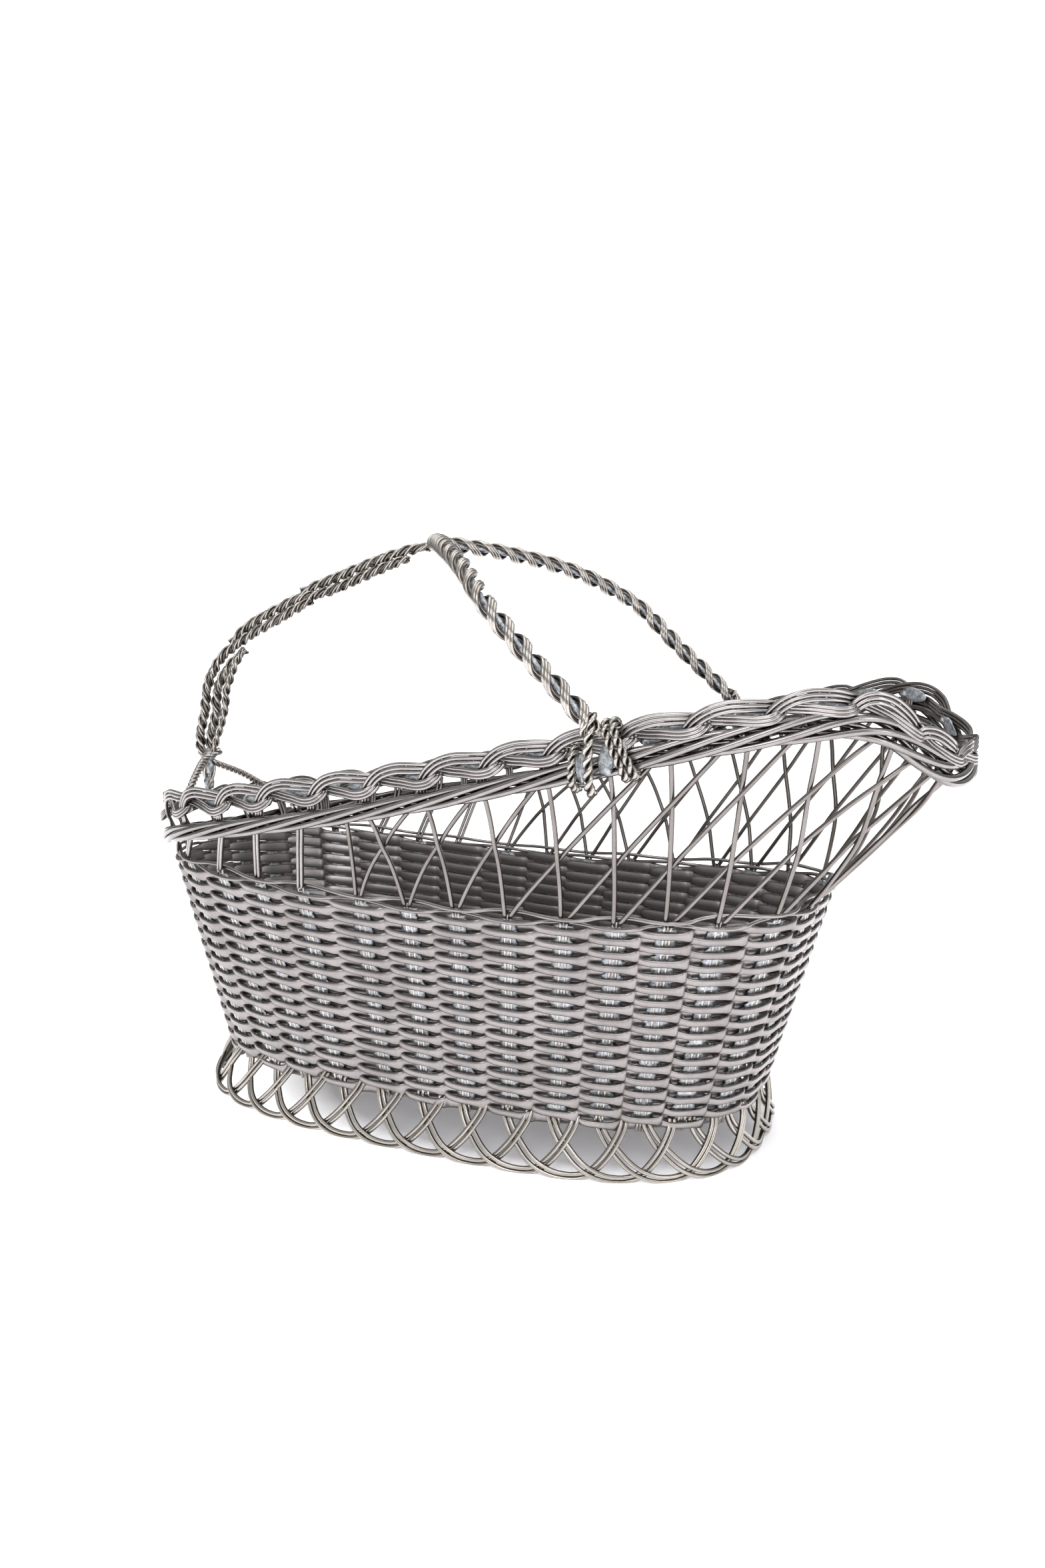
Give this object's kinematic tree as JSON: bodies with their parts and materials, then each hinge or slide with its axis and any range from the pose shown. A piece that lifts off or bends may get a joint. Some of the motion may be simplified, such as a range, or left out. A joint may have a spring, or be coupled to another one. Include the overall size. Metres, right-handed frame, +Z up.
{
  "type": "wine bottle basket",
  "caption": "Oval pouring basket woven of silver wire for a lying wine bottle, with open lattice sides, a dipped spout rim, a looped foot border and a roped handle.",
  "frame": {"origin": "on the ground, under the middle of the whole basket's box", "axes": "+X towards the spout, +Z up, -Y the long side that the picture shows"},
  "size_m": [0.2918, 0.1656, 0.204],
  "materials": {
    "silver_wire": "glossy silver plate with a warm patina in the gaps",
    "floor_silver": "darker patinated silver plate"
  },
  "bodies": {
    "root": {"woven_wall": "silver_wire", "floor": "floor_silver", "foot_border": "silver_wire", "rim_band": "silver_wire", "rim_border": "silver_wire", "handle_arch": "silver_wire", "handle_spine": "silver_wire", "spine_tail": "silver_wire", "stay_near": "silver_wire", "stay_far": "silver_wire", "upright_front_near": "silver_wire", "upright_front_far": "silver_wire", "upright_near_01": "silver_wire", "upright_near_02": "silver_wire", "upright_near_03": "silver_wire", "upright_near_04": "silver_wire", "upright_near_05": "silver_wire", "upright_near_06": "silver_wire", "upright_near_07": "silver_wire", "upright_near_08": "silver_wire", "upright_near_09": "silver_wire", "upright_near_10": "silver_wire", "tie_near_01": "silver_wire", "tie_near_02": "silver_wire", "tie_near_03": "silver_wire", "tie_near_04": "silver_wire", "tie_near_05": "silver_wire", "tie_near_06": "silver_wire", "tie_near_07": "silver_wire", "tie_near_08": "silver_wire", "tie_near_09": "silver_wire", "tie_near_10": "silver_wire", "binding_near_rear": "silver_wire", "binding_near_front": "silver_wire", "binding_near_outer": "silver_wire", "upright_far_01": "silver_wire", "upright_far_02": "silver_wire", "upright_far_03": "silver_wire", "upright_far_04": "silver_wire", "upright_far_05": "silver_wire", "upright_far_06": "silver_wire", "upright_far_07": "silver_wire", "upright_far_08": "silver_wire", "upright_far_09": "silver_wire", "upright_far_10": "silver_wire", "tie_far_01": "silver_wire", "tie_far_02": "silver_wire", "tie_far_03": "silver_wire", "tie_far_04": "silver_wire", "tie_far_05": "silver_wire", "tie_far_06": "silver_wire", "tie_far_07": "silver_wire", "tie_far_08": "silver_wire", "tie_far_09": "silver_wire", "tie_far_10": "silver_wire", "binding_far_rear": "silver_wire", "binding_far_front": "silver_wire", "binding_far_outer": "silver_wire"}
  },
  "joints": []
}
